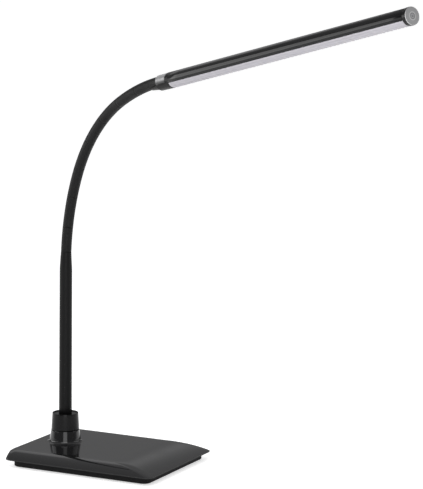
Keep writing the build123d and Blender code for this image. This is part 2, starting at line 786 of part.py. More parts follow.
# Rear plug: flange and spigot in the head tube, collet in the ferrule, saddle under both, and a
# thin heel behind the saddle under the neck's end.
with BuildPart() as rear_plug:
    with BuildSketch(head_plane(flange_rear)):
        Circle(head_radius)
    extrude(amount=plug_flange)
    fillet(faces().sort_by(head_axis)[0].edges(), plug_flange_round)
    with BuildSketch(head_plane(flange_rear + plug_flange_round)):
        Circle(saddle_radius)
        with Locations((0, axis_drop - saddle_edge_drop)):
            Rectangle(2 * head_radius, 2 * head_radius, align=(Align.CENTER, Align.MIN), mode=Mode.SUBTRACT)
    extrude(amount=-(ferrule_length - saddle_setback + plug_flange_round), taper=saddle_taper)
    with BuildSketch(head_plane(ferrule_rear + saddle_setback + 1.0)):
        Circle(heel_radius)
        with Locations((0, axis_drop - saddle_edge_drop)):
            Rectangle(2 * head_radius, 2 * head_radius, align=(Align.CENTER, Align.MIN), mode=Mode.SUBTRACT)
    extrude(amount=-(saddle_setback + 1.0 + heel_overrun), taper=heel_taper)
    with BuildSketch(head_plane(ferrule_rear - heel_overrun)):
        with Locations((0, axis_drop)):
            Circle(neck_radius + heel_fit)
    extrude(amount=heel_overrun, mode=Mode.SUBTRACT)
    with BuildSketch(head_plane(ferrule_rear - heel_step)):
        with Locations((0, axis_drop)):
            Circle(ferrule_radius + collet_fit)
    extrude(amount=ferrule_length + heel_step, mode=Mode.SUBTRACT)
    with BuildSketch(head_plane(ferrule_rear + neck_into_ferrule + collet_gap)):
        with Locations((0, axis_drop)):
            Circle(neck_radius + neck_fit - collet_fit)
    extrude(amount=ferrule_length - neck_into_ferrule - collet_gap + plug_flange_round)
    with BuildSketch(head_plane(tube_rear)):
        add(spigot_section(bore_radius - plug_fit))
    extrude(amount=plug_spigot)
    with BuildSketch(head_plane(ferrule_rear)):
        with Locations((0, axis_drop)):
            Circle(core_radius + core_fit)
    extrude(amount=ferrule_length + plug_flange - plug_front_wall, mode=Mode.SUBTRACT)
    with BuildSketch(head_plane(ferrule_rear + ferrule_length)):
        with Locations((0, spigot_flat + lead_hole_radius + collet_fit)):
            Circle(lead_hole_radius)
    extrude(amount=plug_flange + plug_spigot, mode=Mode.SUBTRACT)
    with BuildSketch(grub_plane):
        Circle(grub_radius + grub_fit)
    extrude(amount=head_radius, mode=Mode.SUBTRACT)
    with BuildSketch(grub_plane.offset(ferrule_radius - axis_drop)):
        Circle(grub_radius + grub_clear)
    extrude(amount=head_radius, mode=Mode.SUBTRACT)
save(rear_plug.part, "rear_plug")

# Grub screw: up through the saddle and the ferrule, threaded in the collet, against the core.
grub_top = core_radius - axis_drop + core_fit
grub_length = saddle_radius - 0.5 - grub_recess - grub_top
with BuildPart() as grub_screw:
    with BuildSketch(grub_plane.offset(grub_top)):
        Circle(grub_radius)
    extrude(amount=grub_length)
    with BuildSketch(grub_plane.offset(grub_top + grub_length - grub_socket_depth)):
        RegularPolygon(grub_socket_radius, 6)
    extrude(amount=grub_socket_depth, mode=Mode.SUBTRACT)
save(grub_screw.part, "grub_screw")

# Head tube: round extrusion, open below, with a web across the middle.
with BuildPart() as head_tube:
    with BuildSketch(head_plane(tube_rear)):
        Circle(head_radius)
        Circle(bore_radius, mode=Mode.SUBTRACT)
        add(sector(2 * head_radius, -opening_half_angle, opening_half_angle), mode=Mode.SUBTRACT)
        with Locations((0, web_top)):
            Rectangle(2 * bore_radius + head_wall, web_thickness, align=(Align.CENTER, Align.MAX))
    extrude(amount=tube_length)
    with BuildSketch(grub_plane.offset(-web_top)):
        with Locations(*[(dimmer_rear + link_from_end - flange_rear + grub_from_flange, side * link_spread)
                         for side in (-1, 1)]):
            Circle(link_hole_radius)
    extrude(amount=web_thickness, mode=Mode.SUBTRACT)
save(head_tube.part, "head_tube")

# Diffuser: opal strip that fills the opening, with tongues that lap inside the tube's edges.
diffuser_half_angle = opening_half_angle - diffuser_edge_fit
diffuser_radius = head_radius - diffuser_fit
tongue_radius = bore_radius - tongue_fit
with BuildPart() as diffuser:
    with BuildSketch(head_plane(tube_rear + diffuser_end_gap)):
        add(sector(diffuser_radius, -diffuser_half_angle, diffuser_half_angle))
        Circle(diffuser_radius - diffuser_thickness, mode=Mode.SUBTRACT)
    extrude(amount=tube_length - 2 * diffuser_end_gap)
    for low_angle, high_angle in ((-tongue_high_angle, -tongue_low_angle),
                                  (tongue_low_angle, tongue_high_angle)):
        with BuildSketch(head_plane(tube_rear + diffuser_end_gap)):
            add(sector(tongue_radius, low_angle, high_angle))
            Circle(tongue_radius - tongue_thickness, mode=Mode.SUBTRACT)
        extrude(amount=tube_length - 2 * diffuser_end_gap)
save(diffuser.part, "diffuser")

# Light board: strip stuck under the web, with its row of light diodes.
board_length = tube_length - 2 * board_end_gap
board_bottom = web_bottom - board_thickness
tongue_bore = tongue_radius - tongue_thickness
board_width = 2 * (sqrt(tongue_bore**2 - board_bottom**2) - board_side_gap)
with BuildPart() as light_board:
    with BuildSketch(head_plane(tube_rear + board_end_gap)):
        with Locations((0, web_bottom)):
            Rectangle(board_width, board_thickness, align=(Align.CENTER, Align.MAX))
    extrude(amount=board_length)
save(light_board.part, "light_board")

chip_pitch = board_length / chip_count
chip_places = [((number + 0.5) * chip_pitch + board_end_gap, 0) for number in range(chip_count)]
board_plane = Plane(origin=head_plane(tube_rear).from_local_coords((0, board_bottom, 0)),
                    x_dir=head_plane(0).z_dir, z_dir=-head_plane(0).y_dir)
with BuildPart() as light_chips:
    with BuildSketch(board_plane):
        with Locations(*chip_places):
            Rectangle(chip_length, chip_width)
    extrude(amount=chip_thickness)
save(light_chips.part, "light_chips")

# End ring: closes the head's tip, with a spigot in the tube and a seat for the touch cap.
with BuildPart() as end_ring:
    with BuildSketch(head_plane(tube_front)):
        Circle(head_radius - ring_groove_depth)
    extrude(amount=ring_length)
    with BuildSketch(head_plane(tube_front + ring_groove_width)):
        Circle(ring_radius)
    extrude(amount=ring_length - ring_groove_width)
    fillet(faces().sort_by(head_axis)[-1].edges(), ring_edge_round)
    with BuildSketch(head_plane(tube_front)):
        add(spigot_section(bore_radius - plug_fit))
    extrude(amount=-ring_spigot)
    with BuildSketch(head_plane(ring_front)):
        Circle(cap_stem_radius + cap_fit)
    extrude(amount=-(cap_stem_length + cap_fit), mode=Mode.SUBTRACT)
    with BuildSketch(head_plane(tube_front - ring_spigot)):
        with Locations((0, contact_height)):
            Circle(contact_radius + contact_fit)
    extrude(amount=ring_spigot + ring_length, mode=Mode.SUBTRACT)
save(end_ring.part, "end_ring")

# Touch cap: metal disc on the tip, and the contact pin from it to the dimmer board.
with BuildPart() as touch_cap:
    with BuildSketch(head_plane(ring_front)):
        Circle(cap_radius)
    extrude(amount=cap_thickness)
    fillet(faces().sort_by(head_axis)[-1].edges(), cap_edge_round)
    with BuildSketch(head_plane(ring_front)):
        Circle(cap_stem_radius)
    extrude(amount=-cap_stem_length)
save(touch_cap.part, "touch_cap")

with BuildPart() as touch_contact:
    with BuildSketch(head_plane(dimmer_front - contact_overlap)):
        with Locations((0, contact_height)):
            Circle(contact_radius)
    extrude(amount=ring_front - cap_stem_length - dimmer_front + contact_overlap)
save(touch_contact.part, "touch_contact")

# Dimmer board on foam tape over the web, with its parts, and the links through to the light board.
with BuildPart() as dimmer_tape:
    with BuildSketch(head_plane(dimmer_front - tape_length)):
        with Locations((0, web_top)):
            Rectangle(tape_width, tape_thickness, align=(Align.CENTER, Align.MIN))
    extrude(amount=tape_length)
save(dimmer_tape.part, "dimmer_tape")

dimmer_width = 2 * (sqrt(bore_radius**2 - dimmer_top**2) - dimmer_side_gap)
with BuildPart() as dimmer_board:
    with BuildSketch(head_plane(dimmer_rear)):
        with Locations((0, dimmer_bottom)):
            Rectangle(dimmer_width, dimmer_thickness, align=(Align.CENTER, Align.MIN))
    extrude(amount=dimmer_length)
save(dimmer_board.part, "dimmer_board")

dimmer_face = Plane(origin=head_plane(dimmer_rear).from_local_coords((0, dimmer_top, 0)),
                    x_dir=head_plane(0).z_dir, z_dir=head_plane(0).y_dir)
with BuildPart() as dimmer_chips:
    for along, across, length, width, height in ((9.0, 0.0, 5.0, 5.0, 1.5), (17.0, -1.8, 5.0, 4.0, 1.2),
                                                 (17.0, 3.0, 3.2, 1.6, 0.8), (24.0, 0.0, 4.5, 6.0, 1.6)):
        with BuildSketch(dimmer_face):
            with Locations((along, across)):
                Rectangle(length, width)
        extrude(amount=height)
save(dimmer_chips.part, "dimmer_chips")

link_places = [(link_from_end, side * link_spread) for side in (-1, 1)]
with BuildPart() as board_links:
    with BuildSketch(dimmer_face.offset(-dimmer_thickness)):
        with Locations(*link_places):
            Circle(link_radius)
    extrude(amount=-(tape_thickness + web_thickness))
save(board_links.part, "board_links")

# Leads along the head, from the end of the cable to the dimmer board.
with BuildPart() as head_leads:
    with BuildSketch(head_plane(core_end - neck_length)):
        with Locations((-lead_spread, lead_height), (lead_spread, lead_height)):
            Circle(lead_radius)
    extrude(amount=dimmer_rear + lead_overlap - core_end + neck_length)
save(head_leads.part, "head_leads")
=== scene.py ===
from math import atan2, cos, pi, radians, sin, sqrt
import bmesh
import bpy
from mathutils import Matrix, Vector


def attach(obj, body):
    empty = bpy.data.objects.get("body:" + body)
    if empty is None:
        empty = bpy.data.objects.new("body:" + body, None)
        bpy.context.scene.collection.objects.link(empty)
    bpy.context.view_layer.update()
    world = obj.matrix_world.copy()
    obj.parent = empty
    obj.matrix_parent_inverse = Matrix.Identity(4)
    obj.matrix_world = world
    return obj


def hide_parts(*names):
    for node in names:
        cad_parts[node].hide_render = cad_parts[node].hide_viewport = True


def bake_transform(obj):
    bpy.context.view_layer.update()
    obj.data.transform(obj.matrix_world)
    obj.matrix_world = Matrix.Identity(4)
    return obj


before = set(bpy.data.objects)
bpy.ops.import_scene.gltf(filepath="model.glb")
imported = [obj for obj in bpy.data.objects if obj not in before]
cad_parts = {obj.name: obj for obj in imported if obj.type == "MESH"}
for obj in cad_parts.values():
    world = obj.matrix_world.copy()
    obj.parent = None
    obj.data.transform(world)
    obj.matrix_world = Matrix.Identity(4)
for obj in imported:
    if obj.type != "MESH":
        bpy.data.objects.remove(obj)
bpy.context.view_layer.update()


# ---------------------------------------------------------------- the table and the light
# A wide pale table top under a sky that is dim at the horizon, has a paler band low down and is
# lighter overhead, with large soft lamps round it. None of it is part of the lamp.
table_size, table_lift = 60.0, 0.56
horizon_grey, overhead_grey = (0.21, 0.21, 0.212, 1), (0.72, 0.72, 0.73, 1)
sky_greys = ((0.20, 0.29), (0.24, 0.305), (0.31, 0.325), (0.35, 0.60), (0.385, 0.48), (0.43, 0.34),
             (0.49, 0.38), (0.62, 0.50))
bpy.context.scene.view_settings.view_transform = "Standard"
bpy.ops.object.select_all(action="DESELECT")
bpy.ops.mesh.primitive_plane_add(size=table_size, location=(0, 0, 0))
table_top = bpy.context.object
table_top.name = "table_top"

pale_top = bpy.data.materials.new("pale_table_top")
pale_top.use_nodes = True
tree = pale_top.node_tree
shader = tree.nodes["Principled BSDF"]
shader.inputs["Base Color"].default_value = (0.86, 0.86, 0.86, 1)
shader.inputs["Roughness"].default_value = 0.9
shader.inputs["Specular IOR Level"].default_value = 0.1
rays = tree.nodes.new("ShaderNodeLightPath")
seen = tree.nodes.new("ShaderNodeMath")
seen.operation = "MAXIMUM"
tree.links.new(rays.outputs["Is Camera Ray"], seen.inputs[0])
tree.links.new(rays.outputs["Is Glossy Ray"], seen.inputs[1])
seen_or_through = tree.nodes.new("ShaderNodeMath")
seen_or_through.operation = "MAXIMUM"
tree.links.new(seen.outputs[0], seen_or_through.inputs[0])
tree.links.new(rays.outputs["Is Transmission Ray"], seen_or_through.inputs[1])
lift = tree.nodes.new("ShaderNodeMath")
lift.operation = "MULTIPLY"
lift.inputs[1].default_value = table_lift
tree.links.new(seen_or_through.outputs[0], lift.inputs[0])
shader.inputs["Emission Color"].default_value = (1, 1, 1, 1)
tree.links.new(lift.outputs[0], shader.inputs["Emission Strength"])
table_top.data.materials.append(pale_top)

sky = bpy.data.worlds.new("even_sky")
bpy.context.scene.world = sky
sky.use_nodes = True
tree = sky.node_tree
direction = tree.nodes.new("ShaderNodeTexCoord")
upward = tree.nodes.new("ShaderNodeSeparateXYZ")
tree.links.new(direction.outputs["Generated"], upward.inputs[0])
fade = tree.nodes.new("ShaderNodeValToRGB")
fade.color_ramp.interpolation = "B_SPLINE"
fade.color_ramp.elements[0].position = 0.0
fade.color_ramp.elements[0].color = horizon_grey
fade.color_ramp.elements[1].position = 1.0
fade.color_ramp.elements[1].color = overhead_grey
for height, grey in sky_greys:
    element = fade.color_ramp.elements.new(height)
    element.color = (grey, grey, grey * 1.01, 1)
tree.links.new(upward.outputs["Z"], fade.inputs[0])
tree.links.new(fade.outputs["Color"], tree.nodes["Background"].inputs["Color"])


def soft_lamp(name, place, aim, width, height, watts):
    """A soft lamp with its own place, facing a point of the object."""
    data = bpy.data.lights.new(name, "AREA")
    data.shape = "RECTANGLE"
    data.size, data.size_y, data.energy = width, height, watts
    lamp = bpy.data.objects.new(name, data)
    bpy.context.collection.objects.link(lamp)
    lamp.location = place
    lamp.rotation_euler = (Vector(place) - Vector(aim)).to_track_quat("Z", "Y").to_euler()


soft_lamp("front_lamp", (0.69, -1.76, 2.06), (0.05, 0.0, 0.25), 1.9, 0.8, 22)
soft_lamp("low_front_lamp", (0.384, -0.787, 0.385), (-0.05, 0.0, 0.385), 0.45, 0.76, 2.6)
soft_lamp("right_lamp", (1.00, 0.60, 0.45), (-0.05, 0.0, 0.30), 1.1, 0.6, 2.2)
soft_lamp("left_lamp", (-1.25, -0.45, 0.50), (0.15, -0.1, 0.45), 1.0, 0.62, 5.6)
soft_lamp("front_left_lamp", (-0.76, -0.98, 0.33), (-0.05, 0.0, 0.10), 0.5, 0.35, 0.7)
soft_lamp("back_left_lamp", (-0.99, 0.90, 1.05), (0.20, -0.12, 0.43), 0.9, 0.5, 0.7)

camera_place = (1.11867, -2.04770, 0.58095)
right = Vector((0.89740699, 0.44100813, 0.01313499))
up = Vector((-0.07644389, 0.12609717, 0.98906816))
camera_turn = Matrix((right, up, right.cross(up))).transposed().to_4x4()
camera_data = bpy.data.cameras.new("camera")
camera_data.sensor_fit = "HORIZONTAL"
camera_data.sensor_width = 36.0
camera_data.lens = 192.85
camera_data.clip_end = 200.0
camera = bpy.data.objects.new("camera", camera_data)
bpy.context.collection.objects.link(camera)
camera.matrix_world = Matrix.Translation(camera_place) @ camera_turn
bpy.context.scene.camera = camera


# ---------------------------------------------------------------- base cover
# Glossy black cover of the weighted base, injection moulded: a lip all round, slopes that are
# broad in front and steep behind the stem, a flat top, and the bell that carries the collar.
cover_length, cover_width, cover_corner = 0.1732, 0.1432, 0.0082
lip_bottom, lip_top, cover_top, roof_bottom = 0.00875, 0.0097, 0.0181, 0.0156
slope_widths = {"back": 0.0043, "front": 0.050, "side": 0.0185}
slope_levels, top_loop = 28, 0.0005
rim_width, rim_depth = 0.0063, 0.0012
hollow_steps = ((0.0032, 0.94, 0.945, -0.0042), (0.0022, 0.90, 0.92, -0.0048))  # rise, two shares, shift
notch_radius, notch_height, notch_skirt = 0.00415, 0.0111, 0.0045
notch_start, notch_length = -0.0900, 0.0127
stem_x = -0.0527624
bell_foot_radius, bell_sweep, bell_turn = 0.020338, 0.0038056, radians(86.9)
bell_profile = [(0.0060, roof_bottom), (bell_foot_radius, roof_bottom)]
for step in range(11):
    turn = bell_turn * step / 10
    bell_profile.append((bell_foot_radius - bell_sweep * sin(turn), cover_top + bell_sweep * (1 - cos(turn))))
bell_profile += [(0.01615, 0.02400), (0.01581, 0.02600), (0.01547, 0.02800), (0.01513, 0.03000),
                 (0.01499, 0.03080), (0.01494, 0.03096), (0.01480, 0.03107), (0.01462, 0.03110),
                 (0.0095, 0.03110), (0.0095, 0.0286), (0.0066, 0.0286), (0.0062, 0.0161)]


def open_piece(name):
    """Name the new primitive, fix its place and open it for shaping."""
    piece = bpy.context.object
    piece.name = name
    piece.data.name = name
    bpy.ops.object.transform_apply(location=True, rotation=True, scale=True)
    bpy.ops.object.mode_set(mode="EDIT")
    return piece


def pick(piece, test, kind="verts"):
    """Select the vertices or the faces whose middle passes a test."""
    bpy.ops.mesh.select_all(action="DESELECT")
    bpy.ops.mesh.select_mode(type={"verts": "VERT", "faces": "FACE"}[kind])
    shape = bmesh.from_edit_mesh(piece.data)
    for part in getattr(shape, kind):
        if test(part.co if kind == "verts" else part.calc_center_median()):
            part.select_set(True)
    shape.select_flush_mode()
    bmesh.update_edit_mesh(piece.data)


def close_piece(piece, smooth, place=None):
    """Turn the faces outwards, leave edit mode, set the piece in its place and shade it by angle."""
    bpy.ops.mesh.select_all(action="SELECT")
    bpy.ops.mesh.remove_doubles(threshold=0.000002)
    bpy.ops.mesh.normals_make_consistent(inside=False)
    bpy.ops.object.mode_set(mode="OBJECT")
    bpy.ops.object.select_all(action="DESELECT")
    piece.select_set(True)
    bpy.context.view_layer.objects.active = piece
    if place is not None:
        piece.matrix_world = place
    bpy.ops.object.transform_apply(location=True, rotation=True, scale=True)
    bpy.ops.object.shade_smooth_by_angle(angle=radians(smooth))


def turned(name, profile, centre=(0.0, 0.0), around=128):
    """A turned shape, drawn ring by ring along its profile of (radius, height)."""
    bpy.ops.object.select_all(action="DESELECT")
    radius, height = profile[0]
    bpy.ops.mesh.primitive_circle_add(vertices=around, radius=radius, location=(*centre, height))
    piece = open_piece(name)
    bpy.ops.mesh.select_mode(type="EDGE")
    bpy.ops.mesh.select_all(action="SELECT")
    for next_radius, next_height in profile[1:]:
        bpy.ops.mesh.extrude_region_move(TRANSFORM_OT_translate={"value": (0, 0, next_height - height)})
        share = next_radius / radius
        bpy.ops.transform.resize(value=(share, share, 1), center_override=(*centre, next_height))
        radius, height = next_radius, next_height
    return piece


def close_round(piece, profile, centre=(0.0, 0.0)):
    """Join the first ring of a turned shape to the last."""
    def on_end(p):
        out = sqrt((p.x - centre[0])**2 + (p.y - centre[1])**2)
        return any(abs(p.z - height) < 1e-6 and abs(out - radius) < 3e-6
                   for radius, height in (profile[0], profile[-1]))
    pick(piece, on_end)
    bpy.ops.mesh.select_mode(type="EDGE")
    bpy.ops.mesh.bridge_edge_loops()


def slope_inset(side, drop):
    """How far the slope has come in from the lip, at a drop below the flat top."""
    width, rise = slope_widths[side], cover_top - lip_top
    curve = (width**2 + rise**2) / (2 * rise)
    return max(width - sqrt(max(2 * curve * drop - drop**2, 0.0)), 0.0)


def middle_face(height):
    """Test for the face that spans the cover at a height, and for none of the slopes' strips."""
    return lambda p: abs(p.z - height) < 1e-7 and abs(p.x) < 0.06 and abs(p.y) < 0.05


bpy.ops.object.select_all(action="DESELECT")
bpy.ops.mesh.primitive_plane_add(size=1.0, location=(0, 0, lip_bottom))
base_cover = open_piece("base_cover_shell")
bpy.ops.transform.resize(value=(cover_length, cover_width, 1), center_override=(0, 0, lip_bottom))
bpy.ops.mesh.bevel(offset=cover_corner, segments=14, affect="VERTICES")
bpy.ops.mesh.select_mode(type="FACE")
bpy.ops.mesh.select_all(action="SELECT")
bpy.ops.mesh.extrude_region_move(TRANSFORM_OT_translate={"value": (0, 0, lip_top - lip_bottom)})
height = lip_top
insets = {side: 0.0 for side in slope_widths}
for level in range(1, slope_levels + 1):
    drop = (cover_top - lip_top) * (1 - level / slope_levels)**2
    next_height = cover_top - drop
    pick(base_cover, middle_face(height), "faces")
    bpy.ops.mesh.extrude_region_move(TRANSFORM_OT_translate={"value": (0, 0, next_height - height)})
    moves = {side: slope_inset(side, drop) - insets[side] for side in insets}
    for end, end_move in ((-1, moves["back"]), (1, moves["front"])):
        for flank in (-1, 1):
            pick(base_cover, lambda p: abs(p.z - next_height) < 1e-7 and p.x * end > 0 and p.y * flank > 0)
            bpy.ops.transform.translate(value=(-end * end_move, -flank * moves["side"], 0))
    insets = {side: slope_inset(side, drop) for side in insets}
    height = next_height
# a narrow loop inside the flat top's edge keeps its shading level
pick(base_cover, middle_face(cover_top), "faces")
bpy.ops.mesh.inset(thickness=top_loop)
# hollow underneath, inside the lip
pick(base_cover, lambda p: abs(p.z - lip_bottom) < 1e-7, "faces")
bpy.ops.mesh.inset(thickness=rim_width)
bpy.ops.mesh.extrude_region_move(TRANSFORM_OT_translate={"value": (0, 0, rim_depth)})
for rise, share_x, share_y, shift in hollow_steps:
    bpy.ops.mesh.extrude_region_move(TRANSFORM_OT_translate={"value": (shift, 0, rise)})
    bpy.ops.transform.resize(value=(share_x, share_y, 1), center_override=(0, 0, 0))
close_piece(base_cover, 24.0)

bell = turned("collar_bell", bell_profile, (stem_x, 0.0))
close_round(bell, bell_profile, (stem_x, 0.0))
close_piece(bell, 30.0)

# notch through the slope behind the stem, for the power inlet's nose
bpy.ops.object.select_all(action="DESELECT")
bpy.ops.mesh.primitive_circle_add(vertices=64, radius=notch_radius, fill_type="NGON",
                                  location=(notch_start, 0, notch_height), rotation=(0, radians(90), 0))
inlet_notch = open_piece("inlet_notch")
bpy.ops.mesh.select_all(action="SELECT")
bpy.ops.mesh.extrude_region_move(TRANSFORM_OT_translate={"value": (notch_length, 0, 0)})
pick(inlet_notch, lambda p: p.z < notch_height + 0.00002)
bpy.ops.transform.resize(value=(1, 1, 0), center_override=(0, 0, notch_height))
bpy.ops.transform.translate(value=(0, 0, -notch_skirt))
close_piece(inlet_notch, 30.0)
bpy.ops.object.select_all(action="DESELECT")
bpy.context.view_layer.objects.active = base_cover
base_cover.select_set(True)

# grain of the mould, uneven tone, marks of handling and a few specks of dust
grain = bpy.data.node_groups.new("moulding_and_handling", "ShaderNodeTree")
grain.interface.new_socket("Vector", in_out="INPUT", socket_type="NodeSocketVector")
for socket in ("Grain Scale", "Smudge Scale", "Speck Scale"):
    grain.interface.new_socket(socket, in_out="INPUT", socket_type="NodeSocketFloat")
for socket in ("Height", "Tone", "Smudge", "Specks"):
    grain.interface.new_socket(socket, in_out="OUTPUT", socket_type="NodeSocketFloat")
given = grain.nodes.new("NodeGroupInput")
result = grain.nodes.new("NodeGroupOutput")
noises = {}
for socket, detail in (("Grain Scale", 3.0), ("Smudge Scale", 4.0)):
    noise = grain.nodes.new("ShaderNodeTexNoise")
    noise.inputs["Detail"].default_value = detail
    noise.inputs["Roughness"].default_value = 0.62
    grain.links.new(given.outputs["Vector"], noise.inputs["Vector"])
    grain.links.new(given.outputs[socket], noise.inputs["Scale"])
    noises[socket] = noise.outputs["Fac"]
grain.links.new(noises["Grain Scale"], result.inputs["Height"])
soft = grain.nodes.new("ShaderNodeMapRange")
soft.inputs["From Min"].default_value = 0.38
soft.inputs["From Max"].default_value = 0.66
grain.links.new(noises["Smudge Scale"], soft.inputs["Value"])
grain.links.new(soft.outputs["Result"], result.inputs["Smudge"])
half = grain.nodes.new("ShaderNodeMath")
half.operation = "MULTIPLY"
half.inputs[1].default_value = 0.31
grain.links.new(given.outputs["Grain Scale"], half.inputs[0])
mottle = grain.nodes.new("ShaderNodeTexNoise")
mottle.inputs["Detail"].default_value = 2.0
grain.links.new(given.outputs["Vector"], mottle.inputs["Vector"])
grain.links.new(half.outputs[0], mottle.inputs["Scale"])
grain.links.new(mottle.outputs["Fac"], result.inputs["Tone"])
cells = grain.nodes.new("ShaderNodeTexVoronoi")
grain.links.new(given.outputs["Vector"], cells.inputs["Vector"])
grain.links.new(given.outputs["Speck Scale"], cells.inputs["Scale"])
near = grain.nodes.new("ShaderNodeMapRange")
near.inputs["From Min"].default_value = 0.10
near.inputs["From Max"].default_value = 0.05
grain.links.new(cells.outputs["Distance"], near.inputs["Value"])
few = grain.nodes.new("ShaderNodeSeparateColor")
grain.links.new(cells.outputs["Color"], few.inputs["Color"])
chosen = grain.nodes.new("ShaderNodeMath")
chosen.operation = "GREATER_THAN"
chosen.inputs[1].default_value = 0.78
grain.links.new(few.outputs["Red"], chosen.inputs[0])
speck = grain.nodes.new("ShaderNodeMath")
speck.operation = "MULTIPLY"
grain.links.new(near.outputs["Result"], speck.inputs[0])
grain.links.new(chosen.outputs[0], speck.inputs[1])
grain.links.new(speck.outputs[0], result.inputs["Specks"])


def lamp_finish(name, colour, roughness, metallic=0.0, grain_scale=2600.0, smudge_scale=34.0, speck_scale=240.0,
                tone=0.14, smudge=0.05, specks=0.0, bump=0.05, depth=0.0001, specular=0.5):
    """A finish of the lamp: its colour with a little tone, handling marks, dust and surface grain."""
    material = bpy.data.materials.new(name)
    material.use_nodes = True
    tree = material.node_tree
    shader = tree.nodes["Principled BSDF"]
    place = tree.nodes.new("ShaderNodeTexCoord")
    marks = tree.nodes.new("ShaderNodeGroup")
    marks.node_tree = grain
    marks.inputs["Grain Scale"].default_value = grain_scale
    marks.inputs["Smudge Scale"].default_value = smudge_scale
    marks.inputs["Speck Scale"].default_value = speck_scale
    tree.links.new(place.outputs["Object"], marks.inputs["Vector"])
    tones = tree.nodes.new("ShaderNodeMix")
    tones.data_type = "RGBA"
    tones.inputs["A"].default_value = (*[c * (1 - tone) for c in colour], 1)
    tones.inputs["B"].default_value = (*[c * (1 + tone) for c in colour], 1)
    tree.links.new(marks.outputs["Tone"], tones.inputs["Factor"])
    dusty = tree.nodes.new("ShaderNodeMix")
    dusty.name = dusty.label = "colour"
    dusty.data_type = "RGBA"
    dusty.inputs["B"].default_value = (0.30, 0.29, 0.27, 1)
    amount = tree.nodes.new("ShaderNodeMath")
    amount.operation = "MULTIPLY"
    amount.inputs[1].default_value = specks
    tree.links.new(marks.outputs["Specks"], amount.inputs[0])
    tree.links.new(amount.outputs[0], dusty.inputs["Factor"])
    tree.links.new(tones.outputs["Result"], dusty.inputs["A"])
    tree.links.new(dusty.outputs["Result"], shader.inputs["Base Color"])
    sheen = tree.nodes.new("ShaderNodeMapRange")
    sheen.name = sheen.label = "roughness"
    sheen.inputs["To Min"].default_value = roughness
    sheen.inputs["To Max"].default_value = roughness + smudge
    tree.links.new(marks.outputs["Smudge"], sheen.inputs["Value"])
    tree.links.new(sheen.outputs["Result"], shader.inputs["Roughness"])
    texture = tree.nodes.new("ShaderNodeBump")
    texture.name = texture.label = "grain"
    texture.inputs["Strength"].default_value = bump
    texture.inputs["Distance"].default_value = depth
    tree.links.new(marks.outputs["Height"], texture.inputs["Height"])
    tree.links.new(texture.outputs["Normal"], shader.inputs["Normal"])
    shader.inputs["Metallic"].default_value = metallic
    shader.inputs["Specular IOR Level"].default_value = specular
    return material


def dress(piece, material):
    """Give a piece one finish all over."""
    piece.data.materials.clear()
    piece.data.materials.append(material)


def dress_node(name, material):
    """Give a carried-over part its finish, in the slots it has."""
    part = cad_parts[name]
    if not part.material_slots:
        part.data.materials.append(material)
    for slot in part.material_slots:
        slot.material = material


gloss_black = lamp_finish("gloss_black_cover", (0.0070, 0.0070, 0.0074), 0.07, smudge=0.06, specks=0.10,
                          bump=0.012, specular=0.40)
# the lip's moulded edge is duller than the polished top
lip_roughness = 0.60
tree = gloss_black.node_tree
place = tree.nodes.new("ShaderNodeTexCoord")
heights = tree.nodes.new("ShaderNodeSeparateXYZ")
tree.links.new(place.outputs["Object"], heights.inputs[0])
on_lip = tree.nodes.new("ShaderNodeMapRange")
on_lip.inputs["From Min"].default_value = lip_top + 0.0003
on_lip.inputs["From Max"].default_value = lip_top
tree.links.new(heights.outputs["Z"], on_lip.inputs["Value"])
duller = tree.nodes.new("ShaderNodeMix")
duller.inputs["B"].default_value = lip_roughness
tree.links.new(on_lip.outputs["Result"], duller.inputs["Factor"])
tree.links.new(tree.nodes["roughness"].outputs["Result"], duller.inputs["A"])
tree.links.new(duller.outputs["Result"], tree.nodes["Principled BSDF"].inputs["Roughness"])
notch_cut = base_cover.modifiers.new("inlet_notch", "BOOLEAN")
notch_cut.operation = "DIFFERENCE"
notch_cut.solver = "EXACT"
notch_cut.object = inlet_notch
bpy.ops.object.modifier_apply(modifier=notch_cut.name)
bpy.data.objects.remove(inlet_notch, do_unlink=True)
for piece, node in ((base_cover, "base_cover"), (bell, None)):
    dress(piece, gloss_black)
    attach(piece, "base")
    if node:
        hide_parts(node)


# ---------------------------------------------------------------- base plate, foot pad and screws
# Satin black tray that shows as a plinth under the cover, screwed up into the cover's posts, with
# a thin foam pad stuck underneath so that the lamp neither slides nor marks the table.
plate_satin = lamp_finish("satin_black_plate", (0.0105, 0.0105, 0.0108), 0.65, smudge=0.08, specks=0.10,
                          bump=0.12, specular=0.10)
foot_foam = lamp_finish("foot_foam", (0.022, 0.022, 0.023), 0.85, grain_scale=1500.0, tone=0.3, smudge=0.08,
                        specks=0.25, bump=0.5, depth=0.0003, specular=0.2)
screw_steel = lamp_finish("screw_steel", (0.46, 0.46, 0.47), 0.30, metallic=1.0, smudge=0.15, bump=0.06)
dress_node("base_plate", plate_satin)
dress_node("base_pad", foot_foam)
for name in ("cover_screws", "ballast_screws", "grub_screw"):
    dress_node(name, screw_steel)


# ---------------------------------------------------------------- ballast and the stem's fixing
# Steel ballast on four pegs in the tray, and the spreader plate, washer and two nuts that clamp
# the stem's foot to the cover's roof. All of it is hidden in the assembled lamp.
ballast_steel = lamp_finish("ballast_steel", (0.30, 0.29, 0.28), 0.48, metallic=1.0, smudge_scale=60.0,
                            tone=0.2, smudge=0.2, bump=0.12)
zinc_steel = lamp_finish("zinc_plated_steel", (0.52, 0.52, 0.50), 0.33, metallic=1.0, smudge=0.12, bump=0.08)
dress_node("ballast_plate", ballast_steel)
for name in ("spreader_plate", "stem_washer", "stem_nut_lower", "stem_nut_upper", "stem_tube"):
    dress_node(name, zinc_steel)


